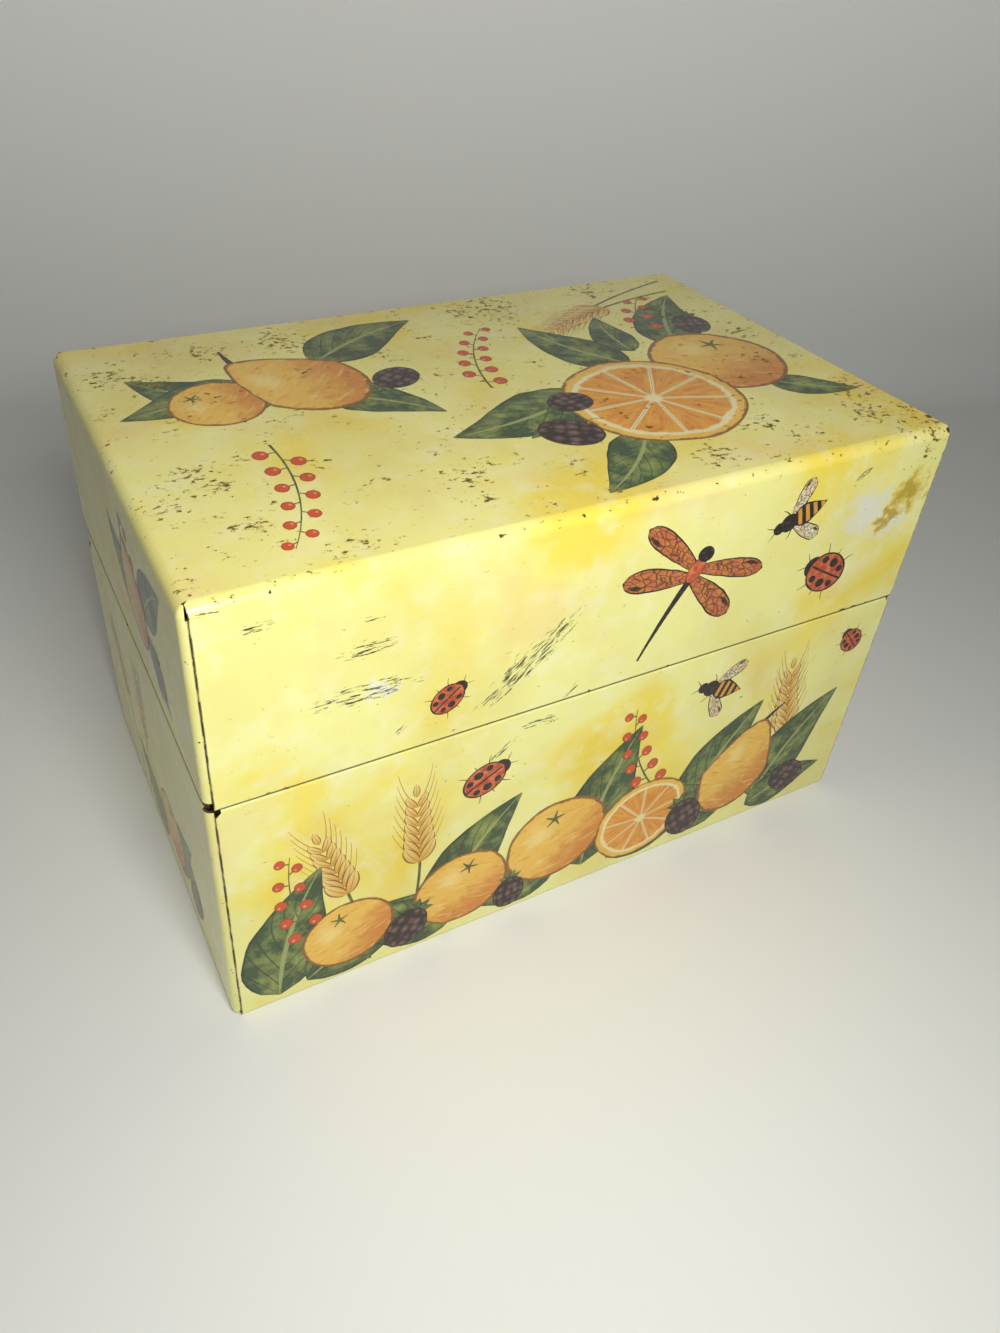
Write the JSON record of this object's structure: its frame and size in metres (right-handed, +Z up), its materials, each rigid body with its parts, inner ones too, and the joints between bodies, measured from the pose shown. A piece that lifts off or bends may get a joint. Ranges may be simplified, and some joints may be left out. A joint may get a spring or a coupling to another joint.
{
  "type": "recipe card box",
  "caption": "Folded tinplate box for index cards, with a deep hinged lid, hemmed rim, inner guide collar and a rolled wire hinge along the back.",
  "frame": {"origin": "centre of the base on the surface that the box stands on", "axes": "+Z up, -Y towards the front that the lid opens from, +X to the box's right seen from the front"},
  "size_m": [0.1366, 0.0856, 0.0889],
  "materials": {
    "printed_tin_body": "semi-gloss lacquer over a printed pale yellow ground",
    "printed_tin_lid": "semi-gloss lacquer over a printed pale yellow ground",
    "bare_tinplate": "bright tinplate, lightly dulled",
    "steel_wire": "drawn wire"
  },
  "bodies": {
    "box": {"body_shell": "printed_tin_body", "inner_collar": "bare_tinplate", "hinge_wire": "steel_wire"},
    "lid": {"lid_shell": "printed_tin_lid"}
  },
  "joints": [
    {"name": "lid_hinge", "type": "hinge", "parent": "box", "child": "lid", "pos_m": [0, 0.04145, 0.052], "axis": [-1, 0, 0], "range_deg": [0, 110]}
  ]
}
